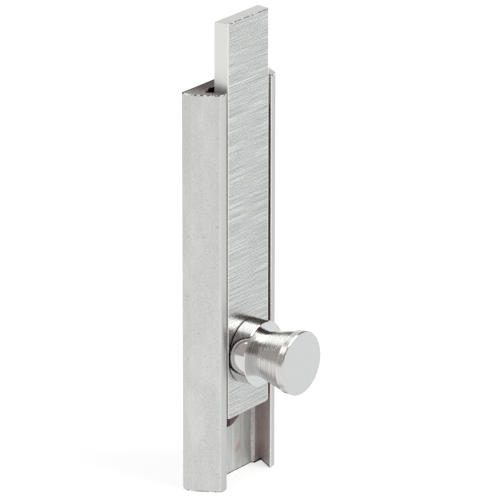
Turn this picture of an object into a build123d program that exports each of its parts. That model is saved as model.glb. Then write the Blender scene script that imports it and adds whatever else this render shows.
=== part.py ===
from build123d import *
import os
from math import radians, tan

# A furniture bolt: a flat bar with a turned knob slides in a drawn rail.
# Millimetres. +Z points up along the rail and the front faces -Y.
# Depths are counted forwards from the rail's back face, so a depth of 3 lies at y = -3.
# Heights are counted upwards from the rail's lower end while the pieces are made.
# At the end everything moves down by half the rail, which puts the origin in the centre of its back face.

# Guide rail
RAIL_LENGTH = 80.0
RAIL_WIDTH = 23.0
RAIL_DEPTH = 7.2
BASE_SIDE_DEPTH = 2.3
WALL_LEAN = 30.5
LIP_WIDTH = 1.73
FLOOR_DEPTH = 3.1
RECESS_BEYOND_MOUTH = 0.26
RECESS_CUT = 0.7
RECESS_FLANK_RUN = 0.3
LIP_NOSE_ROUNDING = 0.2
LIP_SHOULDER_ROUNDING = 1.5
LOWER_END_ROUNDING = 0.8
LOWER_LIP_ROUNDING = 0.4

# Countersunk screw holes in the rail
SCREW_HOLE_DIAMETER = 5.0
COUNTERSINK_DIAMETER = 9.2
SCREW_HOLE_END_DISTANCE = 14.4

# Sliding bar
BAR_LENGTH = 79.0
BAR_BACK_FLARE = 0.4
BAR_THICKNESS = 2.9
BAR_FACE_SETBACK = 0.2
BAR_CORNER_ROUNDING = 0.6
BAR_EDGE_CHAMFER = 0.12

# How far the bar's lower end stands above the rail's lower end in the photographed pose
BAR_RAISED = 14.3

# Knob
KNOB_HEIGHT_ON_BAR = 12.4
KNOB_GRIP_INSET = 0.12
KNOB_LENGTH = 12.55
KNOB_RIM_LENGTH = 1.4
KNOB_RIM_STEP = 0.1
KNOB_COLLAR_OVERHANG = 0.1
KNOB_COLLAR_LENGTH = 3.62
KNOB_FOOT_STEP = 1.1
KNOB_FOOT_LENGTH = 0.13
KNOB_NECK_CUT = 1.8
KNOB_NECK_LENGTH = 0.9
KNOB_EDGE_CHAMFER = 0.15

# Knob screw
KNOB_SCREW_DIAMETER = 4.0
KNOB_SCREW_REACH = 7.0
KNOB_SCREW_HEAD_DIAMETER = 7.0
KNOB_SCREW_HEAD_THICKNESS = 0.65
KNOB_SCREW_SLOT_WIDTH = 0.9
KNOB_SCREW_SLOT_DEPTH = 0.3

# Guide plate behind the bar
PLATE_THICKNESS = 0.7
PLATE_LENGTH = 54.0
PLATE_LOWER_SETBACK = 3.0
PLATE_CORNER_ROUNDING = 1.2
TONGUE_WIDTH = 1.8
TONGUE_LENGTH = 10.0
TONGUE_ROOT_ON_BAR = 44.0
TONGUE_WINDOW_GAP = 0.4

# Plate screws
PLATE_SCREW_DIAMETER = 2.0
PLATE_SCREW_REACH = 1.8
PLATE_SCREW_HEAD_DIAMETER = 3.6
PLATE_SCREW_HEAD_THICKNESS = 0.55
PLATE_SCREW_SPACING = 6.4
PLATE_SCREW_HEIGHT_ON_BAR = 51.0
PLATE_SCREW_SLOT_WIDTH = 0.5
PLATE_SCREW_SLOT_DEPTH = 0.25

# Stop stud in the rail's floor
STUD_HEIGHT_ON_RAIL = 44.0
STUD_HEAD_DIAMETER = 3.2
STUD_SHANK_DIAMETER = 2.4
STUD_FOOT_DIAMETER = 3.6
STUD_FOOT_RECESS = 0.1
STUD_DOME_HEIGHT = 0.5

# Clearances
MOUTH_CLEARANCE = 0.47
TONGUE_SIDE_CLEARANCE = 0.35
WALL_CLEARANCE = 0.2
SCREW_CLEARANCE = 0.1
THREAD_CLEARANCE = 0.02
STUD_FIT_CLEARANCE = 0.02
STUD_BAR_CLEARANCE = 0.3
SLOT_SIDE_CLEARANCE = 0.3
SLOT_END_CLEARANCE = 0.15
TONGUE_FLOOR_CLEARANCE = 0.05
HOLE_ACCESS_CLEARANCE = 0.85

# How far a cutter runs past the face it cuts, and how near an edge must lie to count as on a plane
CUT_OVERRUN = 1.0
EDGE_MATCH = 0.001

# Widths that follow: from the rail's sides in to its mouth, and from the mouth to what runs in it
WALL_SLOPE = tan(radians(WALL_LEAN))
LIP_OUTER_X = RAIL_WIDTH / 2 - (RAIL_DEPTH - BASE_SIDE_DEPTH) * WALL_SLOPE
MOUTH_WIDTH = 2 * (LIP_OUTER_X - LIP_WIDTH)
RECESS_WIDTH = MOUTH_WIDTH + 2 * RECESS_BEYOND_MOUTH
BAR_FACE_WIDTH = MOUTH_WIDTH - 2 * MOUTH_CLEARANCE
BAR_BACK_WIDTH = BAR_FACE_WIDTH + 2 * BAR_BACK_FLARE
TONGUE_CENTRE_X = RECESS_WIDTH / 2 - TONGUE_SIDE_CLEARANCE - TONGUE_WIDTH / 2

# Knob diameters that follow: the grip is all but as wide as the bar's face
KNOB_GRIP_DIAMETER = BAR_FACE_WIDTH - 2 * KNOB_GRIP_INSET
KNOB_COLLAR_DIAMETER = KNOB_GRIP_DIAMETER + 2 * KNOB_COLLAR_OVERHANG
KNOB_FOOT_DIAMETER = KNOB_COLLAR_DIAMETER - 2 * KNOB_FOOT_STEP
KNOB_NECK_DIAMETER = KNOB_GRIP_DIAMETER - 2 * KNOB_NECK_CUT

# Depths that follow
RECESS_DEPTH = FLOOR_DEPTH - RECESS_CUT
BAR_FACE_DEPTH = RAIL_DEPTH - BAR_FACE_SETBACK
BAR_BACK_DEPTH = BAR_FACE_DEPTH - BAR_THICKNESS
PLATE_BACK_DEPTH = BAR_BACK_DEPTH - PLATE_THICKNESS

# Heights that follow
KNOB_HEIGHT = BAR_RAISED + KNOB_HEIGHT_ON_BAR
UPPER_SCREW_HOLE = RAIL_LENGTH - SCREW_HOLE_END_DISTANCE

# Travel: down until the bar's lower end is level with the rail's, up until it clears the lower countersink
TRAVEL_DOWN = BAR_RAISED
TRAVEL_UP = SCREW_HOLE_END_DISTANCE + COUNTERSINK_DIAMETER / 2 + HOLE_ACCESS_CLEARANCE - BAR_RAISED


def front_plane(depth):
    """A sketch plane at this depth that faces the front: its x is +X and its y is +Z."""
    return Plane(origin=(0, -depth, 0), x_dir=(1, 0, 0), z_dir=(0, -1, 0))


def post(x, height, depth_from, depth_to, radius):
    """A round post along the depth, from one depth to another."""
    disc = front_plane(depth_from) * Pos(x, height) * Circle(radius)
    return extrude(disc, amount=depth_to - depth_from)


def flared_post(x, height, depth_from, depth_to, radius_from, radius_to):
    """A post that widens or narrows evenly along the depth."""
    cone = Cone(bottom_radius=radius_from, top_radius=radius_to, height=depth_to - depth_from)
    return Pos(x, -(depth_from + depth_to) / 2, height) * Rot(90, 0, 0) * cone


def block(x_from, x_to, depth_from, depth_to, height_from, height_to):
    """A straight block between two places on each axis."""
    return Pos((x_from + x_to) / 2, -(depth_from + depth_to) / 2, (height_from + height_to) / 2) * Box(
        x_to - x_from, depth_to - depth_from, height_to - height_from
    )


def mouth_half_width(depth):
    """Half the width between the leaning walls at this depth."""
    return MOUTH_WIDTH / 2 + (RAIL_DEPTH - depth) * WALL_SLOPE


def rail_section():
    """Right half of the rail's section, from the centre line round the wall and back along the floor."""
    half_width = RAIL_WIDTH / 2
    recess_half = RECESS_WIDTH / 2
    return [
        (0, 0),
        (half_width, 0),
        (half_width, -BASE_SIDE_DEPTH),
        (LIP_OUTER_X, -RAIL_DEPTH),
        (MOUTH_WIDTH / 2, -RAIL_DEPTH),
        (mouth_half_width(FLOOR_DEPTH), -FLOOR_DEPTH),
        (recess_half + RECESS_FLANK_RUN, -FLOOR_DEPTH),
        (recess_half, -RECESS_DEPTH),
        (0, -RECESS_DEPTH),
    ]


def countersunk_hole(height):
    """The cutter for one countersunk screw hole through the rail's floor."""
    bore_radius = SCREW_HOLE_DIAMETER / 2
    sink_radius = COUNTERSINK_DIAMETER / 2
    sink_start = RECESS_DEPTH - (sink_radius - bore_radius)
    bore = post(0, height, -CUT_OVERRUN, RECESS_DEPTH, bore_radius)
    sink = flared_post(0, height, sink_start, RECESS_DEPTH, bore_radius, sink_radius)
    mouth = post(0, height, RECESS_DEPTH, RECESS_DEPTH + CUT_OVERRUN, sink_radius)
    return bore + sink + mouth


def stud_hole():
    """The cutter for the stud's riveted shank, with a cone at the back."""
    shank_radius = STUD_SHANK_DIAMETER / 2 + STUD_FIT_CLEARANCE
    foot_radius = STUD_FOOT_DIAMETER / 2 + STUD_FIT_CLEARANCE
    shank = post(0, STUD_HEIGHT_ON_RAIL, 0, RECESS_DEPTH + CUT_OVERRUN, shank_radius)
    foot = flared_post(0, STUD_HEIGHT_ON_RAIL, 0, foot_radius - shank_radius, foot_radius, shank_radius)
    return shank + foot


def front_edges(rail):
    """The upright edges that lie on the front of the lips."""
    return [e for e in rail.edges().filter_by(Axis.Z) if e.center().Y < -RAIL_DEPTH + EDGE_MATCH]


def make_guide_rail():
    """The drawn rail, with its lips and its lower end rounded over and its holes cut."""
    right = Plane.XY * make_face(Polyline(*rail_section(), close=True))
    profile = right + mirror(right, about=Plane.YZ)
    rail = extrude(profile, amount=RAIL_LENGTH, dir=(0, 0, 1))
    lower = [e for e in rail.edges().filter_by(Axis.X) if abs(e.center().Z) < EDGE_MATCH]
    back_edge = [e for e in lower if abs(e.center().Y) < EDGE_MATCH]
    rail = fillet(back_edge, LOWER_END_ROUNDING)
    shoulders = [e for e in front_edges(rail) if abs(e.center().X) > LIP_OUTER_X - EDGE_MATCH]
    rail = fillet(shoulders, LIP_SHOULDER_ROUNDING)
    end_edges = [e for e in rail.edges() if abs(e.center().Z) < EDGE_MATCH]
    lip_ends = [e for e in end_edges if e.center().Y < LIP_NOSE_ROUNDING - RAIL_DEPTH]
    rail = fillet(lip_ends, LOWER_LIP_ROUNDING)
    noses = [e for e in front_edges(rail) if abs(e.center().X) < MOUTH_WIDTH / 2 + EDGE_MATCH]
    rail = fillet(noses, LIP_NOSE_ROUNDING)
    for height in (SCREW_HOLE_END_DISTANCE, UPPER_SCREW_HOLE):
        rail -= countersunk_hole(height)
    rail -= stud_hole()
    return rail


def make_stop_stud():
    """A domed stud that stands in the plate's slot, riveted so that its foot stays below the back face."""
    head_radius = STUD_HEAD_DIAMETER / 2
    shank_radius = STUD_SHANK_DIAMETER / 2
    foot_back = STUD_FOOT_RECESS
    foot_radius = STUD_FOOT_DIAMETER / 2 - foot_back
    crown = BAR_BACK_DEPTH - STUD_BAR_CLEARANCE
    shoulder = crown - STUD_DOME_HEIGHT
    foot_cone = foot_back + foot_radius - shank_radius
    with BuildSketch(Plane.XY) as half:
        with BuildLine():
            Line((0, foot_back), (foot_radius, foot_back))
            Line((foot_radius, foot_back), (shank_radius, foot_cone))
            Line((shank_radius, foot_cone), (shank_radius, RECESS_DEPTH))
            Line((shank_radius, RECESS_DEPTH), (head_radius, RECESS_DEPTH))
            Line((head_radius, RECESS_DEPTH), (head_radius, shoulder))
            TangentArc((0, crown), (head_radius, shoulder), tangent=(1, 0))
            Line((0, crown), (0, foot_back))
        make_face()
    turned = revolve(half.sketch, axis=Axis.Y, revolution_arc=360)
    return Pos(0, 0, STUD_HEIGHT_ON_RAIL) * Rot(180, 0, 0) * turned


def make_bolt_bar():
    """The sliding bar: slightly wider at the back, with rounded lower corners and eased front edges."""
    face_half = BAR_FACE_WIDTH / 2
    back_half = BAR_BACK_WIDTH / 2
    outline = Polyline(
        (-face_half, -BAR_FACE_DEPTH),
        (face_half, -BAR_FACE_DEPTH),
        (back_half, -BAR_BACK_DEPTH),
        (-back_half, -BAR_BACK_DEPTH),
        close=True,
    )
    bar = Pos(0, 0, BAR_RAISED) * extrude(make_face(outline), amount=BAR_LENGTH, dir=(0, 0, 1))
    lower_edges = [e for e in bar.edges() if abs(e.center().Z - BAR_RAISED) < EDGE_MATCH]
    lower_corners = [e for e in lower_edges if abs(e.center().X) > face_half / 2]
    bar = fillet(lower_corners, BAR_CORNER_ROUNDING)
    face = bar.faces().sort_by(Axis.Y)[0]
    bar = chamfer(face.edges(), BAR_EDGE_CHAMFER)
    screw_radius = KNOB_SCREW_DIAMETER / 2 + SCREW_CLEARANCE
    bar -= post(0, KNOB_HEIGHT, BAR_BACK_DEPTH - CUT_OVERRUN, BAR_FACE_DEPTH + CUT_OVERRUN, screw_radius)
    for x in plate_screw_places():
        bar -= plate_screw_hole(x)
    return bar


def plate_screw_places():
    """Sideways places of the plate screws."""
    return (-PLATE_SCREW_SPACING / 2, PLATE_SCREW_SPACING / 2)


def plate_screw_hole(x):
    """The cutter for a blind plate screw hole in the bar's back."""
    height = BAR_RAISED + PLATE_SCREW_HEIGHT_ON_BAR
    radius = PLATE_SCREW_DIAMETER / 2 + THREAD_CLEARANCE
    depth_end = BAR_BACK_DEPTH + PLATE_SCREW_REACH + SCREW_CLEARANCE
    return post(x, height, BAR_BACK_DEPTH - CUT_OVERRUN, depth_end, radius)


def make_knob():
    """The turned knob: foot, collar, narrow neck, flared grip and a short straight rim."""
    foot_radius = KNOB_FOOT_DIAMETER / 2
    collar_radius = KNOB_COLLAR_DIAMETER / 2
    neck_radius = KNOB_NECK_DIAMETER / 2
    grip_radius = KNOB_GRIP_DIAMETER / 2
    edge = KNOB_EDGE_CHAMFER
    collar_start = KNOB_FOOT_LENGTH
    collar_end = collar_start + KNOB_COLLAR_LENGTH
    neck_end = collar_end + KNOB_NECK_LENGTH
    rim_start = KNOB_LENGTH - KNOB_RIM_LENGTH
    cone_radius = grip_radius - KNOB_RIM_STEP
    outline = Polyline(
        (0, 0),
        (foot_radius, 0),
        (foot_radius, collar_start),
        (collar_radius - edge, collar_start),
        (collar_radius, collar_start + edge),
        (collar_radius, collar_end - edge),
        (collar_radius - edge, collar_end),
        (neck_radius, collar_end),
        (neck_radius, neck_end),
        (cone_radius, rim_start),
        (grip_radius, rim_start),
        (grip_radius, KNOB_LENGTH - edge),
        (grip_radius - edge, KNOB_LENGTH),
        (0, KNOB_LENGTH),
        close=True,
    )
    turned = revolve(make_face(outline), axis=Axis.Y, revolution_arc=360)
    knob = Pos(0, -BAR_FACE_DEPTH, KNOB_HEIGHT) * Rot(180, 0, 0) * turned
    thread_radius = KNOB_SCREW_DIAMETER / 2 + THREAD_CLEARANCE
    thread_end = BAR_FACE_DEPTH + KNOB_SCREW_REACH + CUT_OVERRUN
    knob -= post(0, KNOB_HEIGHT, BAR_FACE_DEPTH - CUT_OVERRUN, thread_end, thread_radius)
    return knob


def flat_head_screw(
    x, height, head_diameter, head_thickness, shank_diameter, shank_end, slot_width, slot_depth
):
    """A thin-headed slotted screw. Its head lies behind the plate and its shank runs forwards."""
    head_back = PLATE_BACK_DEPTH - head_thickness
    screw = post(x, height, head_back, PLATE_BACK_DEPTH, head_diameter / 2)
    screw += post(x, height, PLATE_BACK_DEPTH, shank_end, shank_diameter / 2)
    slot = block(
        x - head_diameter,
        x + head_diameter,
        head_back - CUT_OVERRUN,
        head_back + slot_depth,
        height - slot_width / 2,
        height + slot_width / 2,
    )
    return screw - slot


def make_knob_screw():
    """The screw that pulls the knob down on the bar and the plate up to it."""
    return flat_head_screw(
        0,
        KNOB_HEIGHT,
        KNOB_SCREW_HEAD_DIAMETER,
        KNOB_SCREW_HEAD_THICKNESS,
        KNOB_SCREW_DIAMETER,
        BAR_FACE_DEPTH + KNOB_SCREW_REACH,
        KNOB_SCREW_SLOT_WIDTH,
        KNOB_SCREW_SLOT_DEPTH,
    )


def make_plate_screws():
    """The two small screws that hold the plate's upper end, as one group."""
    screws = [
        flat_head_screw(
            x,
            BAR_RAISED + PLATE_SCREW_HEIGHT_ON_BAR,
            PLATE_SCREW_HEAD_DIAMETER,
            PLATE_SCREW_HEAD_THICKNESS,
            PLATE_SCREW_DIAMETER,
            BAR_BACK_DEPTH + PLATE_SCREW_REACH,
            PLATE_SCREW_SLOT_WIDTH,
            PLATE_SCREW_SLOT_DEPTH,
        )
        for x in plate_screw_places()
    ]
    return Compound(children=screws)


def stop_slot():
    """The cutter for the slot in which the stop stud runs."""
    head_radius = STUD_HEAD_DIAMETER / 2
    half_width = head_radius + SLOT_SIDE_CLEARANCE
    lowest = STUD_HEIGHT_ON_RAIL - TRAVEL_UP - head_radius - SLOT_END_CLEARANCE
    highest = STUD_HEIGHT_ON_RAIL + TRAVEL_DOWN + head_radius + SLOT_END_CLEARANCE
    lower_centre = lowest + half_width
    upper_centre = highest - half_width
    depth_from = PLATE_BACK_DEPTH - CUT_OVERRUN
    depth_to = BAR_BACK_DEPTH + CUT_OVERRUN
    middle = block(-half_width, half_width, depth_from, depth_to, lower_centre, upper_centre)
    lower_end = post(0, lower_centre, depth_from, depth_to, half_width)
    upper_end = post(0, upper_centre, depth_from, depth_to, half_width)
    return middle + lower_end + upper_end


def spring_tongue(side):
    """One tongue, bent back from the plate until its tip all but meets the recess floor."""
    root = BAR_RAISED + TONGUE_ROOT_ON_BAR
    tip = root - TONGUE_LENGTH
    tip_back = RECESS_DEPTH + TONGUE_FLOOR_CLEARANCE
    outline = Polyline(
        (-BAR_BACK_DEPTH, root),
        (-PLATE_BACK_DEPTH, root),
        (-tip_back, tip),
        (-tip_back - PLATE_THICKNESS, tip),
        close=True,
    )
    start_x = side * TONGUE_CENTRE_X - TONGUE_WIDTH / 2
    profile = Plane(origin=(start_x, 0, 0), x_dir=(0, 1, 0), z_dir=(1, 0, 0)) * make_face(outline)
    return extrude(profile, amount=TONGUE_WIDTH, dir=(1, 0, 0))


def tongue_window(side):
    """The opening that the tongue was cut from."""
    root = BAR_RAISED + TONGUE_ROOT_ON_BAR
    half_width = TONGUE_WIDTH / 2 + TONGUE_WINDOW_GAP
    return block(
        side * TONGUE_CENTRE_X - half_width,
        side * TONGUE_CENTRE_X + half_width,
        PLATE_BACK_DEPTH - CUT_OVERRUN,
        BAR_BACK_DEPTH + CUT_OVERRUN,
        root - TONGUE_LENGTH - TONGUE_WINDOW_GAP,
        root,
    )


def make_guide_plate():
    """The plate that the leaning walls hold in: slotted for the stud, with two spring tongues."""
    half_width = mouth_half_width(BAR_BACK_DEPTH) - WALL_CLEARANCE
    bottom = BAR_RAISED + PLATE_LOWER_SETBACK
    plate = block(-half_width, half_width, PLATE_BACK_DEPTH, BAR_BACK_DEPTH, bottom, bottom + PLATE_LENGTH)
    plate = fillet(plate.edges().filter_by(Axis.Y), PLATE_CORNER_ROUNDING)
    plate -= stop_slot()
    depth_from = PLATE_BACK_DEPTH - CUT_OVERRUN
    depth_to = BAR_BACK_DEPTH + CUT_OVERRUN
    plate -= post(0, KNOB_HEIGHT, depth_from, depth_to, KNOB_SCREW_DIAMETER / 2 + SCREW_CLEARANCE)
    for x in plate_screw_places():
        hole_radius = PLATE_SCREW_DIAMETER / 2 + SCREW_CLEARANCE
        plate -= post(x, BAR_RAISED + PLATE_SCREW_HEIGHT_ON_BAR, depth_from, depth_to, hole_radius)
    for side in (-1, 1):
        plate -= tongue_window(side)
        plate += spring_tongue(side)
    return plate


def main():
    os.makedirs("parts", exist_ok=True)
    pieces = {
        "guide_rail": make_guide_rail(),
        "stop_stud": make_stop_stud(),
        "bolt_bar": make_bolt_bar(),
        "knob": make_knob(),
        "knob_screw": make_knob_screw(),
        "guide_plate": make_guide_plate(),
        "plate_screws": make_plate_screws(),
    }
    to_rail_centre = Pos(0, 0, -RAIL_LENGTH / 2)
    for name, piece in pieces.items():
        export_step(to_rail_centre * piece, "parts/" + name + ".step")
        print(name, "solids", len(piece.solids()), "volume", round(piece.volume, 2))
    print("travel down", round(TRAVEL_DOWN, 2), "up", round(TRAVEL_UP, 2))


main()
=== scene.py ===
# %% [markdown]
# # A furniture bolt in satin and polished nickel
#
# The bolt is a flat bar that slides in a drawn rail and is moved by a turned knob. Its exact solids are
# loaded first and stay where they are. The rail and the bar get a dressed copy with softened edges,
# because a knife-sharp edge never catches the light as a real metal edge does, and the knob is turned
# anew. All lengths are in metres, +Z is up and the front faces -Y.

from math import cos, pi, radians, sin

import bpy
from mathutils import Matrix, Vector


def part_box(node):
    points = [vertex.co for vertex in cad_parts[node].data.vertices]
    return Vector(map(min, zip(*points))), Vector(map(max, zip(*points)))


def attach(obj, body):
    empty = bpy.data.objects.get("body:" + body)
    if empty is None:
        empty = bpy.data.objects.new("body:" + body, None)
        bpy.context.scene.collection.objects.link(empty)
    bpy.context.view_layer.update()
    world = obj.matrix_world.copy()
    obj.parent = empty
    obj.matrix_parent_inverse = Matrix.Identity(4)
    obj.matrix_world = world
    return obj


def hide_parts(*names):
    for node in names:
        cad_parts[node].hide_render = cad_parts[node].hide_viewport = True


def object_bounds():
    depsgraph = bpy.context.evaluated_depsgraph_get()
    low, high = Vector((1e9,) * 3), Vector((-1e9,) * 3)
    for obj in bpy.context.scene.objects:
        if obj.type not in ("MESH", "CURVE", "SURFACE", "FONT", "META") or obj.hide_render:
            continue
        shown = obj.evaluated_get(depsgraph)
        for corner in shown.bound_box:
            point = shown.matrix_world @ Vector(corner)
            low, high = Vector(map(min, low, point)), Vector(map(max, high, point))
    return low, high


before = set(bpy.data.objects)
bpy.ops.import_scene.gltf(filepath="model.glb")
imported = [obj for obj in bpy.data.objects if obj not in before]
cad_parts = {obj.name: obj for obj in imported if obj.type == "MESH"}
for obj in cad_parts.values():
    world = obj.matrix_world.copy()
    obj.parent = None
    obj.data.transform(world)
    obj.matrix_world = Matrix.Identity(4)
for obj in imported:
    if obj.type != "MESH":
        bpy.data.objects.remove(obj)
cad_low, cad_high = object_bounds()
MM = 0.001
print("object box in mm", [round(v / MM, 2) for v in cad_high - cad_low])

# %% [markdown]
# ## Small helpers
#
# An operator works on what is selected and active, so each step starts by deselecting all and picking
# one piece. Modifiers are applied in their order, so that a finished piece is a plain mesh.


# %% Helpers for selecting and finishing
def select_only(piece):
    """Selects one object and makes it the active one."""
    bpy.ops.object.select_all(action="DESELECT")
    piece.select_set(True)
    bpy.context.view_layer.objects.active = piece


def apply_modifiers(piece):
    """Applies a piece's modifiers in their order."""
    select_only(piece)
    for name in [modifier.name for modifier in piece.modifiers]:
        bpy.ops.object.modifier_apply(modifier=name)


def report(piece):
    """Prints how many triangles a finished piece has."""
    triangles = sum(len(face.vertices) - 2 for face in piece.data.polygons)
    print(piece.name, "has", triangles, "triangles")


print("solids loaded", sorted(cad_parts))

# %% [markdown]
# ## Edges that catch the light
#
# Every real metal edge is a little broken, by the die, by a file or by tumbling. The solids arrive as
# loose triangles, and a bevel needs faces that share edges, so corners are merged and flat facets are
# joined first. Edges could be picked one by one, but the bevel's angle limit finds all sharp ones.

# %% A copy with softened edges
MERGE_DISTANCE = 0.0005 * MM
FLAT_ANGLE = radians(0.5)
SHARP_ANGLE = radians(24)
SMOOTH_ANGLE = radians(50)
BEVEL_STEPS = 2


def keep_in_box(piece, low, high):
    """Puts corners that a bevel pushed past the solid, where edges meet at a sharp angle, on its box."""
    for vertex in piece.data.vertices:
        limits = zip(vertex.co, low, high)
        vertex.co = Vector(min(max(value, least), most) for value, least, most in limits)


def softened_copy(node, name, edge_radius):
    """A copy of a solid, merged, with its facets joined and its sharp edges rounded."""
    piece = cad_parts[node].copy()
    piece.data = piece.data.copy()
    piece.name = name
    bpy.context.scene.collection.objects.link(piece)
    select_only(piece)
    bpy.ops.object.mode_set(mode="EDIT")
    bpy.ops.mesh.select_all(action="SELECT")
    bpy.ops.mesh.remove_doubles(threshold=MERGE_DISTANCE)
    bpy.ops.mesh.dissolve_limited(angle_limit=FLAT_ANGLE)
    bpy.ops.mesh.normals_make_consistent(inside=False)
    bpy.ops.object.mode_set(mode="OBJECT")
    bevel = piece.modifiers.new("edges", "BEVEL")
    bevel.width = edge_radius
    bevel.segments = BEVEL_STEPS
    bevel.limit_method = "ANGLE"
    bevel.angle_limit = SHARP_ANGLE
    apply_modifiers(piece)
    keep_in_box(piece, *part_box(node))
    select_only(piece)
    bpy.ops.object.shade_smooth_by_angle(angle=SMOOTH_ANGLE)
    flat_faces_first = piece.modifiers.new("normals", "WEIGHTED_NORMAL")
    flat_faces_first.keep_sharp = True
    apply_modifiers(piece)
    report(piece)
    return piece


# %% [markdown]
# ## Materials from nodes
#
# Every finish here is bare metal, so what tells them apart is how the tool left the surface. Drawing
# leaves faint lines along the rail, a belt leaves scratches across the bar, and a lathe leaves rings on
# the knob. Nodes could be placed one by one, but the trees would hide what they say. Two small classes
# add and link them, so each finish below reads as a recipe. The mix node has inputs for numbers,
# vectors and colours that share their names, so its share and its two colours are picked by number.

# %% Short calls for adding nodes
MIX_INPUTS = (0, 6, 7)
MIX_RESULT = 2


class Nodes:
    """Adds nodes to a tree. A value that goes into one is a socket, or a fixed number or colour."""

    def __init__(self, tree):
        self.tree = tree

    def node(self, kind, **settings):
        made = self.tree.nodes.new("ShaderNode" + kind)
        for key, value in settings.items():
            setattr(made, key, value)
        return made

    def link(self, source, target):
        self.tree.links.new(source, target)

    def put(self, value, target):
        """Links a socket to the target, or writes a fixed value there."""
        if isinstance(value, bpy.types.NodeSocket):
            self.link(value, target)
        else:
            target.default_value = (*value, 1) if target.type == "RGBA" else value

    def math(self, operation, *values):
        math = self.node("Math", operation=operation)
        for value, target in zip(values, math.inputs):
            self.put(value, target)
        return math.outputs["Value"]

    def magnitude(self, value):
        return self.math("ABSOLUTE", value)

    def times(self, first, second):
        return self.math("MULTIPLY", first, second)

    def above(self, value, limit):
        return self.math("GREATER_THAN", value, limit)

    def below(self, value, limit):
        return self.math("LESS_THAN", value, limit)

    def between(self, value, low, high):
        return self.times(self.above(value, low), self.below(value, high))

    def either(self, first, second):
        return self.math("MAXIMUM", first, second)


# %% [markdown]
# ### One recipe for each finish
#
# A recipe mixes colours through masks. A mask is 1 where a colour belongs and 0 elsewhere, so two masks
# multiplied mean both, and the larger of two means either. Masks come from where a surface lies and
# which way it faces, which needs no unwrapping and stays sharp at any distance.


# %% A new material with its shader
def grey(value):
    """An even grey."""
    return (value, value, value)


class Recipe(Nodes):
    """A new material with its shader, and short calls for the patterns and colours that feed it."""

    def __init__(self, name, color, metallic, roughness):
        self.material = bpy.data.materials.new(name)
        self.material.use_nodes = True
        super().__init__(self.material.node_tree)
        self.shader = self.tree.nodes["Principled BSDF"]
        self.shader.inputs["Base Color"].default_value = (*color, 1)
        self.shader.inputs["Metallic"].default_value = metallic
        self.shader.inputs["Roughness"].default_value = roughness

    def feed(self, name, value):
        """Links a value to one of the shader's inputs."""
        self.link(value, self.shader.inputs[name])

    def axes(self, vector):
        """A vector's X, Y and Z as three sockets."""
        split = self.node("SeparateXYZ")
        self.link(vector, split.inputs["Vector"])
        return split.outputs["X"], split.outputs["Y"], split.outputs["Z"]

    def facing(self):
        """The direction that the face itself looks in, without any smoothing, as three sockets."""
        return self.axes(self.node("NewGeometry").outputs["True Normal"])

    def place(self):
        """The place on the object, in metres, as three sockets."""
        return self.axes(self.node("TexCoord").outputs["Object"])

    def noise(self, scale, stretch, detail=2.0, roughness=0.5, turn=(0, 0, 0)):
        """A noise of so many cells per metre, with its X, Y and Z squeezed and turned."""
        coordinates = self.node("TexCoord")
        mapping = self.node("Mapping")
        mapping.inputs["Scale"].default_value = stretch
        mapping.inputs["Rotation"].default_value = turn
        self.link(coordinates.outputs["Object"], mapping.inputs["Vector"])
        noise = self.node("TexNoise")
        noise.inputs["Scale"].default_value = scale
        noise.inputs["Detail"].default_value = detail
        noise.inputs["Roughness"].default_value = roughness
        self.link(mapping.outputs["Vector"], noise.inputs["Vector"])
        return noise.outputs["Fac"]

    def ramp(self, value, stops):
        """A colour ramp through (place, grey or colour) stops."""
        ramp = self.node("ValToRGB")
        elements = ramp.color_ramp.elements
        while len(elements) < len(stops):
            elements.new(0.5)
        for element, (place, color) in zip(elements, stops):
            element.position = place
            element.color = (*color, 1) if isinstance(color, tuple) else (*grey(color), 1)
        self.link(value, ramp.inputs["Fac"])
        return ramp.outputs["Color"]

    def mix(self, share, first, second):
        """Two colours mixed by a share."""
        mix = self.node("Mix", data_type="RGBA")
        for index, value in zip(MIX_INPUTS, (share, first, second)):
            self.put(value, mix.inputs[index])
        return mix.outputs[MIX_RESULT]

    def layers(self, color, *layers):
        """Lays (mask, colour) layers over a colour, one after the other."""
        for mask, over in layers:
            color = self.mix(mask, color, over)
        return color

    def bump(self, height, distance):
        bump = self.node("Bump")
        bump.inputs["Distance"].default_value = distance
        bump.inputs["Strength"].default_value = 1.0
        self.link(height, bump.inputs["Height"])
        self.feed("Normal", bump.outputs["Normal"])


# %% [markdown]
# ## The rail
#
# The rail is one drawn length with a thick base and two walls that lean in over the bar. The next cells
# build its finish from the outside in, and the last one dresses a softened copy of the solid.
#
# ### The plated outside
#
# The plating is a soft satin with a fine mottle, slow clouds and a few specks. Painted highlights lie
# along the creases of the outside and on the noses of the lips, and the lips' front faces are painted a
# little darker as shade. The direction of a face tells these apart, because a drawn section stays the same
# along the whole rail.
#
# Directions are given as cosines, so 1 looks straight along an axis. A pattern lists what a noise takes:
# cells per metre, the squeeze along X, Y and Z, the detail and the roughness. A share lists the stops of
# the ramp that turns the pattern into a mask.

# %% Directions and patterns
STRAIGHT = 0.95
MOSTLY = 0.90
EVEN = (1, 1, 1)
MOTTLE = (2600, (1, 1, 1.3), 3, 0.7)
CLOUDS = (260, (1, 1, 0.5))
SPECKS = (1500, EVEN, 1)
SOFT_SHARE = ((0.36, 0.0), (0.64, 1.0))
CLOUD_SHARE = ((0.45, 0.0), (0.65, 0.35))
SPECK_SHARE = ((0.74, 0.0), (0.78, 0.7))
rail_low, rail_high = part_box("guide_rail")
HALF_WIDTH = rail_high.x
HALF_LENGTH = rail_high.z
print("half the rail's width and length in mm", round(HALF_WIDTH / MM, 2), round(HALF_LENGTH / MM, 2))

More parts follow.
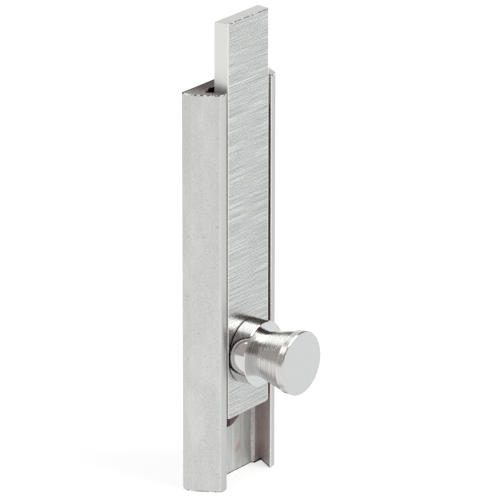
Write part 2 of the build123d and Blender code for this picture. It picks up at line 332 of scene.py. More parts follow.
# %% The plated outside
SATIN_DARK = (0.545, 0.555, 0.545)
SATIN_LIGHT = (0.66, 0.67, 0.655)
# Painted shade: the lips' front faces are a little darker.
SATIN_LIP_SHADE = (0.55, 0.56, 0.55)
# A lighter tone for the plating's own slow clouds, and for painted highlights along the creases.
SATIN_CLOUD_AND_HIGHLIGHT = (0.74, 0.75, 0.735)
SATIN_SPECK = (0.30, 0.27, 0.24)
# A painted highlight on the lips' noses, also painted light on the inner walls near the top.
PAINTED_BRIGHT = (0.88, 0.88, 0.87)
FRONT_ZONE_END = rail_low.y + 1.0 * MM
NOSE_REACH = 7.3 * MM
BASE_CREASE = (-0.45, -0.08)
SHOULDER_CREASE = (-0.86, -0.70)
NOSE_ROUND = (-0.97, 0.1)
BASE_HIGHLIGHT = 0.25
SHOULDER_HIGHLIGHT = 0.5


def plated_outside(finish, shade):
    """The colour of the outside, and a mask of the lips' noses."""
    _, facing_y, _ = finish.facing()
    place_x, place_y, _ = finish.place()
    base = finish.times(finish.between(facing_y, *BASE_CREASE), BASE_HIGHLIGHT)
    shoulder = finish.times(finish.between(facing_y, *SHOULDER_CREASE), SHOULDER_HIGHLIGHT)
    at_front = finish.below(place_y, FRONT_ZONE_END)
    lip_shade = finish.times(at_front, finish.below(facing_y, SHOULDER_CREASE[0]))
    by_mouth = finish.times(at_front, finish.below(finish.magnitude(place_x), NOSE_REACH))
    nose = finish.times(by_mouth, finish.between(facing_y, *NOSE_ROUND))
    color = finish.layers(
        finish.mix(shade, SATIN_DARK, SATIN_LIGHT),
        (finish.ramp(finish.noise(*CLOUDS), CLOUD_SHARE), SATIN_CLOUD_AND_HIGHLIGHT),
        (finish.ramp(finish.noise(*SPECKS), SPECK_SHARE), SATIN_SPECK),
        (finish.either(base, shoulder), SATIN_CLOUD_AND_HIGHLIGHT),
        (lip_shade, SATIN_LIP_SHADE),
        (nose, PAINTED_BRIGHT),
    )
    return color, nose


# %% [markdown]
# ### The recess floor
#
# No polishing wheel reaches the floor of the channel, so the streaks of the drawing die show there, with
# one bright line where the die was nicked. A small brown stain lies below the screw hole. It could be a
# mesh of its own, but a stain has no thickness, so it is a fading ellipse in the colour.

# %% The recess floor
RECESS_DARK = (0.53, 0.53, 0.51)
RECESS_LIGHT = (0.70, 0.71, 0.69)
STREAKS = (1500, (1, 1, 0.10), 3, 0.6)
STREAKS_PART = 0.55
GRAIN = (3800, EVEN, 2, 0.7)
STREAKED_SHARE = ((0.38, 0.0), (0.62, 1.0))
DIE_LINE = (0.82, 0.83, 0.81)
DIE_LINE_X = 1.25 * MM
DIE_LINE_HALF = 0.15 * MM
DIE_LINE_SHARE = 0.4
STAIN = (0.52, 0.44, 0.36)
STAIN_PLACE = (2.8 * MM, 0.0, -35.4 * MM)
STAIN_TURN = (0.0, radians(38), 0.0)
STAIN_SIZE = (0.8 * MM, 10.0, 1.4 * MM)
STAIN_SHARE = ((0.6, 0.8), (1.0, 0.0))


def stained(finish):
    """A mask that fades out at the rim of the stain. The long Y makes it a column, cut by the floor."""
    around = finish.node("Mapping", vector_type="TEXTURE")
    around.inputs["Location"].default_value = STAIN_PLACE
    around.inputs["Rotation"].default_value = STAIN_TURN
    around.inputs["Scale"].default_value = STAIN_SIZE
    finish.link(finish.node("TexCoord").outputs["Object"], around.inputs["Vector"])
    distance = finish.node("VectorMath", operation="LENGTH")
    finish.link(around.outputs["Vector"], distance.inputs[0])
    return finish.ramp(distance.outputs["Value"], STAIN_SHARE)


def recess_color(finish):
    """Streaks along the drawing, the bright line of the die and the stain."""
    streaks = finish.times(finish.noise(*STREAKS), STREAKS_PART)
    grain = finish.times(finish.noise(*GRAIN), 1 - STREAKS_PART)
    streaked = finish.ramp(finish.math("ADD", streaks, grain), STREAKED_SHARE)
    place_x, _, _ = finish.place()
    off_line = finish.magnitude(finish.math("SUBTRACT", place_x, DIE_LINE_X))
    return finish.layers(
        finish.mix(streaked, RECESS_DARK, RECESS_LIGHT),
        (finish.times(finish.below(off_line, DIE_LINE_HALF), DIE_LINE_SHARE), DIE_LINE),
        (stained(finish), STAIN),
    )


# %% [markdown]
# ### Inside the channel
#
# Beside the recess the floor rises in a small worn step, and from there to the lips the metal stays dull,
# because nothing polishes it. Its brownish colour there is painted shade and reflection of the hollow, and
# it is painted darker still towards the bottom. The screw holes are painted dark as shade. Near the top
# the walls are painted bright as light for the bar's side to mirror, and the last two millimetres of the
# recess are painted black as shadow. The inner walls face the middle of the rail, so the product of X as a
# place and X as a direction is negative there. Its limit is a real value, because on a flat back that
# product is only a rounding error.

# %% Masks inside the channel
FLOOR_FRONT = -3.2 * MM
RECESS_EDGE = 7.1 * MM
STEP_END = 7.34 * MM
SINK_REACH = 4.7 * MM
INWARD_LEAST = 1.0 * MM
WALL_LEAN = 0.2
SINK_FACING = (-MOSTLY, 0.5)


def channel_masks(finish):
    """Masks: the floor, the small step beside the recess, the dull metal next to it and the holes."""
    facing_x, facing_y, _ = finish.facing()
    place_x, place_y, _ = finish.place()
    sideways = finish.magnitude(place_x)
    behind = finish.above(place_y, FLOOR_FRONT)
    inwards = finish.below(finish.times(facing_x, place_x), -INWARD_LEAST)
    floor = finish.times(behind, finish.below(facing_y, -STRAIGHT))
    on_step = finish.times(behind, finish.between(sideways, RECESS_EDGE, STEP_END))
    step = finish.times(on_step, finish.times(inwards, finish.above(facing_y, -MOSTLY)))
    strip = finish.times(floor, finish.above(sideways, RECESS_EDGE))
    wall = finish.times(inwards, finish.above(facing_y, WALL_LEAN))
    outer_step = finish.times(finish.times(behind, inwards), finish.above(sideways, STEP_END))
    dull = finish.either(finish.either(wall, strip), outer_step)
    near_middle = finish.times(behind, finish.below(sideways, SINK_REACH))
    hole = finish.times(near_middle, finish.between(facing_y, *SINK_FACING))
    return {"floor": floor, "step": step, "dull": dull, "hole": hole}


# %% Colours inside the channel
STEP_DARK = (0.38, 0.36, 0.345)
STEP_LIGHT = (0.70, 0.70, 0.68)
# Painted shade and reflection of the hollow on the dull inside, and more painted shade towards the bottom.
INSIDE_SHADE_DARK = (0.56, 0.49, 0.48)
INSIDE_SHADE_LIGHT = (0.70, 0.66, 0.64)
LOW_SHADE = (0.22, 0.17, 0.165)
LOW_SHADE_SHARE = ((0.88, 0.0), (1.0, 0.4))
# Painted shade inside the screw holes.
SINK_SHADE_DARK = (0.09, 0.065, 0.06)
SINK_SHADE_LIGHT = (0.22, 0.17, 0.16)
# Painted black shadow in the last two millimetres of the recess.
SHADOW_BLACK = (0.02, 0.015, 0.015)
SHADOW_REACH = 2.2 * MM
LIT_REACH = 6.0 * MM


def channel_color(finish, shade, outside, masks):
    """Lays the colours of the channel over the outside."""
    _, _, place_z = finish.place()
    downwards = finish.times(place_z, -1 / HALF_LENGTH)
    inside_shade = finish.mix(shade, INSIDE_SHADE_DARK, INSIDE_SHADE_LIGHT)
    # Painted light on the dull walls near the top, for the bar's side to mirror.
    lit_near_top = finish.times(finish.above(place_z, HALF_LENGTH - LIT_REACH), masks["dull"])
    in_recess = finish.either(masks["floor"], masks["step"])
    painted_shadow = finish.times(finish.above(place_z, HALF_LENGTH - SHADOW_REACH), in_recess)
    return finish.layers(
        outside,
        (masks["floor"], recess_color(finish)),
        (masks["step"], finish.mix(shade, STEP_DARK, STEP_LIGHT)),
        (masks["dull"], finish.mix(finish.ramp(downwards, LOW_SHADE_SHARE), inside_shade, LOW_SHADE)),
        (masks["hole"], finish.mix(shade, SINK_SHADE_DARK, SINK_SHADE_LIGHT)),
        (lit_near_top, PAINTED_BRIGHT),
        (painted_shadow, SHADOW_BLACK),
    )


# %% [markdown]
# ### The sawn ends
#
# The saw leaves a rough face, painted brown and dark on the left and light on the right as shade and
# reflection, and a dark line at the back. A quarter-millimetre band along the rim is cut by a noise into
# dashes of painted highlight and dark painted reflection. A thin shadow lies along the lower rim of the
# channel, where the burr leans inwards.

# %% The sawn ends
# Painted shade and reflection: brown and dark on the left of the ends, light on the right.
SAWN_SHADED = (0.13, 0.105, 0.10)
SAWN_SHADED_BROWN = (0.42, 0.385, 0.36)
SAWN_LIT = (0.62, 0.63, 0.61)
SAWN_SHADE_ACROSS = ((0.0, SAWN_SHADED_BROWN), (0.2, SAWN_SHADED), (0.4, SAWN_SHADED), (0.78, SAWN_LIT))
SAWN_BACK = (0.04, 0.03, 0.03)
BACK_LINE = 0.40 * MM
# Painted highlights and dark painted reflections, cut into dashes along the rim of the ends.
RIM_DARK_REFLECTION = (0.12, 0.10, 0.09)
RIM_HIGHLIGHT = (0.85, 0.85, 0.83)
RIM_BAND = 0.26 * MM
RIM_DASHES = (2900, EVEN, 1)
RIM_DASH_SHARE = ((0.47, 1.0), (0.53, 0.0))
RIM_SHADOW = (0.03, 0.022, 0.022)
RIM_BY_FLOOR = 0.22 * MM
RIM_BY_WALL = 0.42 * MM


def sawn_ends(finish, color, masks):
    """Lays the colours of the ends over the rest, and gives a mask of the sawn faces."""
    _, _, facing_z = finish.facing()
    place_x, place_y, place_z = finish.place()
    sawn = finish.above(finish.magnitude(facing_z), MOSTLY)
    across = finish.math("MULTIPLY_ADD", place_x, 0.5 / HALF_WIDTH, 0.5)
    at_end = finish.above(finish.magnitude(place_z), HALF_LENGTH - RIM_BAND)
    rim_dashes = finish.ramp(finish.noise(*RIM_DASHES), RIM_DASH_SHARE)
    in_recess = finish.either(masks["floor"], masks["step"])
    by_floor = finish.times(in_recess, finish.below(place_z, RIM_BY_FLOOR - HALF_LENGTH))
    by_wall = finish.times(masks["dull"], finish.below(place_z, RIM_BY_WALL - HALF_LENGTH))
    color = finish.layers(
        color,
        (at_end, finish.mix(rim_dashes, RIM_HIGHLIGHT, RIM_DARK_REFLECTION)),
        (finish.either(by_floor, by_wall), RIM_SHADOW),
        (sawn, finish.ramp(across, SAWN_SHADE_ACROSS)),
        (finish.times(at_end, finish.above(place_y, -BACK_LINE)), SAWN_BACK),
    )
    return color, sawn


# %% [markdown]
# ### The whole rail
#
# The outside is smoother along the faint lines of the drawing, and everything that the polishing wheel
# misses is rougher. The edges of the dressed copy are broken by a tenth of a millimetre. The solid
# itself could be shown, but its edges would stay sharp, so the copy stands in for it on the same body.


# %% Dressing a piece
def dress(piece, node, body, finish):
    """Gives a dressed piece its finish, its body and the solid that it stands for."""
    piece.data.materials.clear()
    piece.data.materials.append(finish)
    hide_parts(node)
    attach(piece, body)


# %% Dress the rail
RAIL_ROUGHNESS = 0.42
DRAW_LINES = (900, (1, 1, 0.02), 3)
DRAWN_ROUGHNESS = ((0.2, 0.36), (0.8, 0.48))
UNPOLISHED_ROUGHNESS = grey(0.62)
MOTTLE_DEPTH = 0.010 * MM
RAIL_EDGE = 0.10 * MM


def satin_rail():
    """Satin nickel over drawn steel."""
    finish = Recipe("satin_nickel", SATIN_LIGHT, 1.0, RAIL_ROUGHNESS)
    mottle = finish.noise(*MOTTLE)
    shade = finish.ramp(mottle, SOFT_SHARE)
    outside, nose = plated_outside(finish, shade)
    masks = channel_masks(finish)
    inside = channel_color(finish, shade, outside, masks)
    color, sawn = sawn_ends(finish, inside, masks)
    finish.feed("Base Color", color)
    drawn = finish.ramp(finish.noise(*DRAW_LINES), DRAWN_ROUGHNESS)
    rough = finish.either(finish.either(masks["floor"], nose), finish.either(masks["dull"], sawn))
    finish.feed("Roughness", finish.mix(rough, drawn, UNPOLISHED_ROUGHNESS))
    finish.bump(mottle, MOTTLE_DEPTH)
    return finish.material


rail = softened_copy("guide_rail", "rail", RAIL_EDGE)
dress(rail, "guide_rail", "rail", satin_rail())

# %% [markdown]
# ## The bar
#
# The bar is flat stock. A belt sander crosses its face, so the fine scratches run side to side. Long thin
# noise along X makes them: a fine grain everywhere, some strong dark lines and, turned by one degree, a
# few bright ones. Lines could be modelled, but they are far thinner than a pixel. A painted highlight runs
# along the face's long edges, more on the right.

# %% The brushed face
GRAIN_DARK = (0.335, 0.345, 0.34)
GRAIN_LIGHT = (0.66, 0.67, 0.66)
# The dark of scratches and pits, also the dark painted reflections between the dashes on the upper edge.
SCRATCH_AND_EDGE_REFLECTION = (0.20, 0.20, 0.195)
GLINT = (0.88, 0.89, 0.88)
# A painted highlight along the face's long edges and on the broken edge round the face.
BAR_EDGE_HIGHLIGHT = (0.90, 0.90, 0.89)
SPARKLE = (5200, (0.6, 0, 1), 1)
FINE_PART = 0.65
SCRATCHES = (3700, (0.007, 0, 1), 1)
GLINTS = (3700, (0.008, 0, 1), 1, 0.5, (0.0, radians(1), 0.0))
PITS = (1500, (1, 0, 1), 1)
GRAIN_SHARE = ((0.41, 0.0), (0.59, 1.0))
SCRATCH_SHARE = ((0.29, 1.0), (0.35, 0.0))
GLINT_SHARE = ((0.70, 0.0), (0.76, 0.8))
PIT_SHARE = ((0.76, 0.0), (0.79, 0.7))
EDGE_HIGHLIGHT_SHARE = ((0.0, 0.3), (1.0, 0.8))
SIDE_TAPER = 0.40 * MM
EDGE_HIGHLIGHT_WIDTH = 0.28 * MM
FACE_HALF_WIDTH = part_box("bolt_bar")[1].x - SIDE_TAPER
print("bar's face in mm", round(2 * FACE_HALF_WIDTH / MM, 2), "wide")


def brushed_face(finish, fine):
    """The grain of the belt with its scratches, glints, pits and a painted highlight along the edges."""
    place_x, _, _ = finish.place()
    sparkle = finish.times(finish.noise(*SPARKLE), 1 - FINE_PART)
    grain = finish.ramp(finish.math("ADD", finish.times(fine, FINE_PART), sparkle), GRAIN_SHARE)
    by_edge = finish.above(finish.magnitude(place_x), FACE_HALF_WIDTH - EDGE_HIGHLIGHT_WIDTH)
    more_right = finish.ramp(finish.above(place_x, 0.0), EDGE_HIGHLIGHT_SHARE)
    return finish.layers(
        finish.mix(grain, GRAIN_DARK, GRAIN_LIGHT),
        (finish.ramp(finish.noise(*SCRATCHES), SCRATCH_SHARE), SCRATCH_AND_EDGE_REFLECTION),
        (finish.ramp(finish.noise(*GLINTS), GLINT_SHARE), GLINT),
        (finish.ramp(finish.noise(*PITS), PIT_SHARE), SCRATCH_AND_EDGE_REFLECTION),
        (finish.times(by_edge, more_right), BAR_EDGE_HIGHLIGHT),
    )


# %% [markdown]
# ### The whole bar
#
# The sides and the upper end are plain satin, and the upper end is painted a little darker as shade. The
# sides beside the lips are painted dark as shade in the gap, and it stops short of the rail's end, so that
# none shows when the bar slides up. The broken edge round the face carries a painted highlight, cut into
# dashes with dark painted reflections at the top and bright all along the sides.

# %% Dress the bar
BAR_SMOOTH = (0.68, 0.69, 0.675)
BAR_SIDE = (0.74, 0.75, 0.735)
# Painted shade: the upper end is a little darker.
BAR_END_SHADE = (0.58, 0.59, 0.57)
BAR_ROUGHNESS = 0.28
FINE_GRAIN = (4600, (0.012, 0, 1), 3, 0.85)
# Painted shade in the gap between the bar's sides and the lips.
GAP_SHADE = (0.26, 0.19, 0.18)
GAP_SHADE_FRONT = -6.2 * MM
GAP_SHADE_TOP = HALF_LENGTH - 6.5 * MM
EDGE_FACING = (-STRAIGHT, -0.25)
UPWARDS_LEAST = 0.25
EDGE_DASH_PATTERN = (1300, EVEN, 1)
EDGE_SHARE = ((0.54, 0.0), (0.62, 1.0))
BRUSHED_ROUGHNESS = ((0.3, 0.16), (0.7, 0.28))
SIDE_ROUGHNESS = grey(0.36)
EDGE_ROUGHNESS = grey(0.75)
GRAIN_DEPTH = 0.008 * MM
BAR_EDGE = 0.05 * MM


def brushed_bar():
    """Nickel with a belt-brushed face."""
    finish = Recipe("brushed_nickel", BAR_SMOOTH, 1.0, BAR_ROUGHNESS)
    facing_x, facing_y, facing_z = finish.facing()
    _, place_y, place_z = finish.place()
    fine = finish.noise(*FINE_GRAIN)
    face = finish.below(facing_y, -STRAIGHT)
    side = finish.above(finish.magnitude(facing_x), MOSTLY)
    edge = finish.between(facing_y, *EDGE_FACING)
    by_lips = finish.times(finish.below(place_y, GAP_SHADE_FRONT), finish.below(place_z, GAP_SHADE_TOP))
    dashes = finish.ramp(finish.noise(*EDGE_DASH_PATTERN), EDGE_SHARE)
    bright = finish.either(dashes, finish.below(facing_z, UPWARDS_LEAST))
    color = finish.layers(
        finish.mix(side, BAR_SMOOTH, BAR_SIDE),
        (finish.times(side, by_lips), GAP_SHADE),
        (finish.above(facing_z, MOSTLY), BAR_END_SHADE),
        (edge, finish.mix(bright, SCRATCH_AND_EDGE_REFLECTION, BAR_EDGE_HIGHLIGHT)),
        (face, brushed_face(finish, fine)),
    )
    finish.feed("Base Color", color)
    brushed = finish.ramp(fine, BRUSHED_ROUGHNESS)
    finish.feed("Roughness", finish.layers(brushed, (side, SIDE_ROUGHNESS), (edge, EDGE_ROUGHNESS)))
    finish.bump(finish.times(fine, face), GRAIN_DEPTH)
    return finish.material


bar = softened_copy("bolt_bar", "bar", BAR_EDGE)
dress(bar, "bolt_bar", "bolt", brushed_bar())

# %% [markdown]
# ## The knob
#
# A knob like this is turned: the lathe cuts one outline all the way round. So its outline is drawn once,
# from the end of the bore out to the rim and the flat front, and spun round the lathe's axis. A copy of
# the solid would do, but spinning keeps every ring perfectly round. The corners get small flats, as a
# file leaves them, and the collar stands on a smaller foot, which shows as a thin dark gap.

# %% Sizes of the knob, from its solid
knob_low, knob_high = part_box("knob")
KNOB_BACK = knob_high.y
KNOB_LENGTH = knob_high.y - knob_low.y
KNOB_CENTRE_Z = (knob_low.z + knob_high.z) / 2
COLLAR_RADIUS = (knob_high.x - knob_low.x) / 2
GRIP_RADIUS = COLLAR_RADIUS - 0.10 * MM
FOOT_RADIUS = COLLAR_RADIUS - 1.10 * MM
NECK_RADIUS = GRIP_RADIUS - 1.80 * MM
FLARE_RADIUS = GRIP_RADIUS - 0.10 * MM
THREAD_RADIUS = 2.02 * MM
THREAD_DEPTH = 8.00 * MM
FOOT_END = 0.13 * MM
COLLAR_END = 3.75 * MM
NECK_END = 4.65 * MM
GRIP_RIM_START = KNOB_LENGTH - 1.40 * MM
CORNER_FLAT = 0.15 * MM
KNOB_OUTLINE = [
    (THREAD_DEPTH, 0.0),
    (THREAD_DEPTH, THREAD_RADIUS),
    (0.0, THREAD_RADIUS),
    (0.0, FOOT_RADIUS),
    (FOOT_END, FOOT_RADIUS),
    (FOOT_END, COLLAR_RADIUS - CORNER_FLAT),
    (FOOT_END + CORNER_FLAT, COLLAR_RADIUS),
    (COLLAR_END - CORNER_FLAT, COLLAR_RADIUS),
    (COLLAR_END, COLLAR_RADIUS - CORNER_FLAT),
    (COLLAR_END, NECK_RADIUS),
    (NECK_END, NECK_RADIUS),
    (GRIP_RIM_START, FLARE_RADIUS),
    (GRIP_RIM_START, GRIP_RADIUS),
    (KNOB_LENGTH - CORNER_FLAT, GRIP_RADIUS),
    (KNOB_LENGTH, GRIP_RADIUS - CORNER_FLAT),
    (KNOB_LENGTH, 0.0),
]
print("knob length in mm", round(KNOB_LENGTH / MM, 2), "collar radius", round(COLLAR_RADIUS / MM, 2))

# %% [markdown]
# ### Polished nickel
#
# The knob is polished on the lathe, so it mirrors the studio, and the rings of the tool only show as a
# fine comb in the highlights of the grip. The rings follow Y, the axis of the lathe. The flat end was
# faced off and stays matt.

# %% The knob's finish
POLISHED = (0.655, 0.645, 0.63)
RING_DARK = (0.47, 0.455, 0.44)
RING_LIGHT = (0.76, 0.75, 0.735)
FACED_OFF = (0.60, 0.615, 0.605)
KNOB_ROUGHNESS = 0.08
FACED_ROUGHNESS = grey(0.40)
COLLAR_ROUGHNESS = grey(0.04)
GRIP_ROUGHNESS = ((0.3, 0.05), (0.7, 0.13))
RINGS = (3300, (0, 1, 0), 3, 0.7)
RING_SHARE = ((0.38, 0.0), (0.62, 1.0))
CHATTER = (900, (1, 2.4, 1))
CHATTER_SHARE = ((0.3, 0.5), (0.7, 1.0))
RING_DEPTH = 0.06 * MM
FRONT_END = knob_low.y + 0.2 * MM
GRIP_START = knob_high.y - 3.8 * MM


def turned_knob():
    """Polished nickel with turning rings on the grip and a matt end."""
    finish = Recipe("polished_nickel", POLISHED, 1.0, KNOB_ROUGHNESS)
    _, facing_y, _ = finish.facing()
    _, place_y, _ = finish.place()
    rings = finish.noise(*RINGS)
    faced = finish.below(facing_y, -STRAIGHT)
    flat_end = finish.times(faced, finish.below(place_y, FRONT_END))
    on_grip = finish.below(place_y, GRIP_START)
    polish = finish.mix(on_grip, COLLAR_ROUGHNESS, finish.ramp(rings, GRIP_ROUGHNESS))
    finish.feed("Roughness", finish.mix(flat_end, polish, FACED_ROUGHNESS))
    combed = finish.mix(finish.ramp(rings, RING_SHARE), RING_DARK, RING_LIGHT)
    finish.feed("Base Color", finish.layers(POLISHED, (on_grip, combed), (faced, FACED_OFF)))
    chatter = finish.ramp(finish.noise(*CHATTER), CHATTER_SHARE)
    finish.bump(finish.times(rings, finish.times(on_grip, chatter)), RING_DEPTH)
    return finish.material


# %% [markdown]
# ### Turning it
#
# The outline starts as a single point, which is a small plane merged to its middle. It is extruded from
# corner to corner, and the spin closes it. The end of the bore and the flat front meet the axis, where
# merging the doubled points closes both.

# %% Turn the knob
SPIN_STEPS = 96


def turned_piece(name, outline):
    """Extrudes a single point along an outline and spins it round the lathe's axis."""
    bpy.ops.object.select_all(action="DESELECT")
    bpy.ops.mesh.primitive_plane_add(size=MM, location=(0, 0, 0))
    piece = bpy.context.active_object
    piece.name = name
    bpy.ops.object.mode_set(mode="EDIT")
    bpy.ops.mesh.select_all(action="SELECT")
    bpy.ops.mesh.merge(type="CENTER")
    places = [Vector((0, KNOB_BACK - distance, KNOB_CENTRE_Z + radius)) for distance, radius in outline]
    bpy.ops.transform.translate(value=places[0])
    for before, after in zip(places, places[1:]):
        bpy.ops.mesh.extrude_region_move(TRANSFORM_OT_translate={"value": after - before})
    bpy.ops.mesh.select_all(action="SELECT")
    axis_point = (0, KNOB_BACK, KNOB_CENTRE_Z)
    bpy.ops.mesh.spin(
        steps=SPIN_STEPS, angle=2 * pi, center=axis_point, axis=(0, 1, 0), use_auto_merge=True
    )
    bpy.ops.mesh.select_all(action="SELECT")
    bpy.ops.mesh.remove_doubles(threshold=MERGE_DISTANCE)
    bpy.ops.mesh.normals_make_consistent(inside=False)
    bpy.ops.object.mode_set(mode="OBJECT")
    bpy.ops.object.shade_smooth_by_angle(angle=SHARP_ANGLE)
    report(piece)
    return piece


knob = turned_piece("turned_knob", KNOB_OUTLINE)
dress(knob, "knob", "bolt", turned_knob())

# %% [markdown]
# ## Screws, stud and plate
#
# These sit behind the bar and show only when the bolt is taken apart or seen from behind. Their solids
# already have the right shape, so they stay and only take a finish. The screws and the stud are bright
# steel and the plate is duller spring steel, with a slow noise that keeps them from looking like plastic.

# %% Finish the hidden pieces
STEEL_DARK = grey(0.46)
STEEL_LIGHT = grey(0.60)
STEEL_ROUGHNESS = 0.30
SPRING_DARK = (0.32, 0.32, 0.33)
SPRING_LIGHT = (0.44, 0.44, 0.45)
SPRING_ROUGHNESS = 0.36
STEEL_CLOUD = (700, EVEN, 3)
SMOOTHER = 0.06
ROUGHER = 0.08
CLOUD_DEPTH = 0.003 * MM


def plain_steel(name, dark, light, roughness):
    """Steel with a slow change of tone and roughness."""
    finish = Recipe(name, light, 1.0, roughness)
    cloud = finish.noise(*STEEL_CLOUD)
    finish.feed("Base Color", finish.mix(cloud, dark, light))
    finish.feed("Roughness", finish.ramp(cloud, ((0.3, roughness - SMOOTHER), (0.7, roughness + ROUGHER))))
    finish.bump(cloud, CLOUD_DEPTH)
    return finish.material


steel = plain_steel("plain_steel", STEEL_DARK, STEEL_LIGHT, STEEL_ROUGHNESS)
spring = plain_steel("spring_steel", SPRING_DARK, SPRING_LIGHT, SPRING_ROUGHNESS)
hidden = {"knob_screw": steel, "plate_screws": steel, "stop_stud": steel, "guide_plate": spring}
for node, finish in hidden.items():
    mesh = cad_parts[node].data
    mesh.materials.clear()
    mesh.materials.append(finish)
print("hidden pieces finished", sorted(hidden))

# %% [markdown]
# ## Floor and white surroundings
#
# The bolt stands on a white table. The camera and the metal both see plain white around it, and the
# table keeps a soft shadow where the rail stands. A bright table alone would wash that shadow out, so
# its glow is only for the rays that show it, straight or as a reflection, and not for those that light.


# %% Rays that show a thing
def seen_rays(nodes):
    """1 for rays that show a thing, straight or in metal or glass, and 0 for rays that light it."""
    rays = nodes.node("LightPath")
    seen = rays.outputs["Is Camera Ray"]
    for ray in ("Is Glossy Ray", "Is Transmission Ray"):
        seen = nodes.either(seen, rays.outputs[ray])
    return seen


# %% The table
FLOOR_SIZE = 6.0
FLOOR_COLOR = grey(0.62)
FLOOR_ROUGHNESS = 0.9
FLOOR_GLOW = 0.62
bpy.ops.object.select_all(action="DESELECT")
bpy.ops.mesh.primitive_plane_add(size=FLOOR_SIZE, location=(0, 0, cad_low.z))
floor = bpy.context.active_object
floor.name = "floor"
table = Recipe("white_table", FLOOR_COLOR, 0.0, FLOOR_ROUGHNESS)
table.shader.inputs["Specular IOR Level"].default_value = 0.0
glow = table.node("Emission")
table.link(table.times(seen_rays(table), FLOOR_GLOW), glow.inputs["Strength"])
lit_and_glowing = table.node("AddShader")
table.link(table.shader.outputs["BSDF"], lit_and_glowing.inputs[0])
table.link(glow.outputs["Emission"], lit_and_glowing.inputs[1])
table.link(lit_and_glowing.outputs["Shader"], table.tree.nodes["Material Output"].inputs["Surface"])
floor.data.materials.append(table.material)
print("table at", round(floor.location.z / MM, 2), "mm")

# %% The white room
AMBIENT = 0.55
world = bpy.data.worlds.new("white_room")
bpy.context.scene.world = world
world.use_nodes = True
room = Nodes(world.node_tree)
background = room.tree.nodes["Background"]
background.inputs["Color"].default_value = (1, 1, 1, 1)
level = room.math("MULTIPLY_ADD", seen_rays(room), 1 - AMBIENT, AMBIENT)
room.link(level, background.inputs["Strength"])
print("the room shows white and lights with", AMBIENT)

# %% [markdown]
# ## Soft studio lamps
#
# A broad window of light, high at the front and a little to the right, gives the knob its white band,
# and a weak lamp fills from the left. Places in the studio are given as a turn, where 0 is in front and
# 90 to the left, and a height, both in degrees.

# %% Lamps
STUDIO_DISTANCE = 0.60
middle = (cad_low + cad_high) / 2


def studio_place(turn, height):
    """The direction from the bolt to a place in the studio."""
    turn, height = radians(turn), radians(height)
    return Vector((-sin(turn) * cos(height), -cos(turn) * cos(height), sin(height)))


def soft_lamp(name, turn, height, width, tall, power):
    """An area lamp that looks at the middle of the bolt."""
    outwards = studio_place(turn, height)
    bpy.ops.object.light_add(type="AREA", location=middle + outwards * STUDIO_DISTANCE)
    lamp = bpy.context.active_object
    lamp.name = name
    lamp.data.shape = "RECTANGLE"
    lamp.data.size = width
    lamp.data.size_y = tall
    lamp.data.energy = power
    lamp.rotation_euler = outwards.to_track_quat("Z", "Y").to_euler()
    print(name, power, "W")


soft_lamp("lamp_window", turn=-18, height=40, width=0.42, tall=0.46, power=1.35)
soft_lamp("lamp_left", turn=95, height=35, width=0.30, tall=0.30, power=0.25)

# %% [markdown]
# ## Cards for the metal to mirror
#
# Polished metal only looks polished when it has something dark to mirror. Photographers stand cards
# beside the lamps for that. These are seen only in the metal: a wide grey-brown one at the front left
# with a darker one before it, a tall dark one on the right, two behind, and a white one high at the back.
# The two that stand a little closer lie before their neighbours.

# %% Cards
CLOSER = 0.58
GREY_BROWN = (0.40, 0.35, 0.33)
DARK_BROWN = (0.19, 0.165, 0.16)
BLACK_BROWN = (0.11, 0.08, 0.07)
DEEP_BROWN = (0.14, 0.11, 0.10)
WARM_GREY = (0.52, 0.485, 0.465)
BRIGHT_WHITE = (1.6, 1.6, 1.58)


def card(name, turn, height, width, tall, tone, distance=STUDIO_DISTANCE):
    """A card of an even tone that faces the bolt and shows only in the metal."""
    outwards = studio_place(turn, height)
    bpy.ops.mesh.primitive_plane_add(size=1, location=middle + outwards * distance)
    made = bpy.context.active_object
    made.name = name
    made.scale = (width, tall, 1)
    made.rotation_euler = outwards.to_track_quat("Z", "Y").to_euler()
    finish = Recipe(name, (0, 0, 0), 0.0, 1.0)
    finish.shader.inputs["Emission Color"].default_value = (*tone, 1)
    finish.shader.inputs["Emission Strength"].default_value = 1.0
    finish.shader.inputs["Specular IOR Level"].default_value = 0.0
    made.data.materials.append(finish.material)
    made.visible_camera = False
    made.visible_diffuse = False
    made.visible_shadow = False
    print(name, "at a turn of", turn, "and a height of", height)


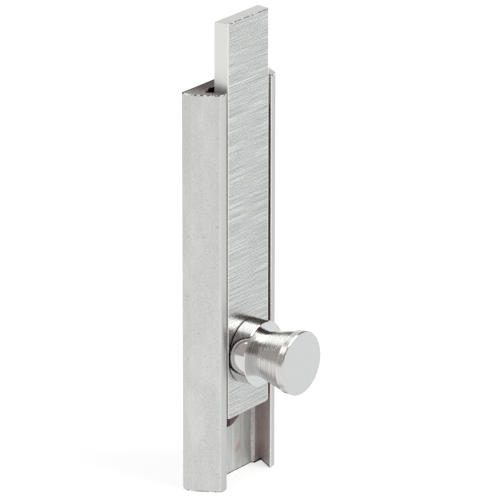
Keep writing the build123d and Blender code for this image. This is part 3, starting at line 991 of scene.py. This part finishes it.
card("card_left", turn=42, height=28, width=0.66, tall=0.56, tone=GREY_BROWN)
card("card_left_dark", turn=60, height=20, width=0.20, tall=0.22, tone=DARK_BROWN, distance=CLOSER)
card("card_right", turn=-60, height=18, width=0.40, tall=0.56, tone=BLACK_BROWN)
card("card_behind", turn=-145, height=10, width=0.30, tall=0.42, tone=DEEP_BROWN)
card("card_back_left", turn=140, height=17, width=0.62, tall=0.46, tone=WARM_GREY)
card("card_white", turn=156, height=44, width=0.50, tall=0.28, tone=BRIGHT_WHITE, distance=CLOSER)

# %% [markdown]
# ## Camera
#
# The photograph looks at the bolt from its left and a little from above, from about a metre away. The
# turn, the height and the distance were found by matching the corners of the bar and the rail. Turning
# the camera by three angles would do, but building it from its right, up and backward directions keeps
# the small roll apart from the rest.

# %% Camera
IMAGE_SIZE = 500
SENSOR = 36.0
CAMERA_TURN = 53.5
CAMERA_HEIGHT = 19.88
CAMERA_ROLL = radians(0.07)
CAMERA_DISTANCE = 1.0329
FOCAL_PIXELS = 5437
LOOK_AT = Vector((0, -4 * MM, 5 * MM))
LOOK_RIGHT = 2.717 * MM
LOOK_UP = 1.167 * MM

towards = studio_place(CAMERA_TURN, CAMERA_HEIGHT)
level_right = Vector((cos(radians(CAMERA_TURN)), -sin(radians(CAMERA_TURN)), 0))
level_up = towards.cross(level_right)
right = level_right * cos(CAMERA_ROLL) + level_up * sin(CAMERA_ROLL)
up = level_up * cos(CAMERA_ROLL) - level_right * sin(CAMERA_ROLL)
bpy.ops.object.camera_add()
camera = bpy.context.active_object
camera.data.sensor_width = SENSOR
camera.data.lens = FOCAL_PIXELS / IMAGE_SIZE * SENSOR
stand = LOOK_AT + right * LOOK_RIGHT + up * LOOK_UP + towards * CAMERA_DISTANCE
camera.matrix_world = Matrix.Translation(stand) @ Matrix((right, up, towards)).transposed().to_4x4()
bpy.context.scene.camera = camera
bpy.context.scene.view_settings.view_transform = "Standard"
print("lens in mm", round(camera.data.lens, 1), "stands at", [round(v, 3) for v in stand])
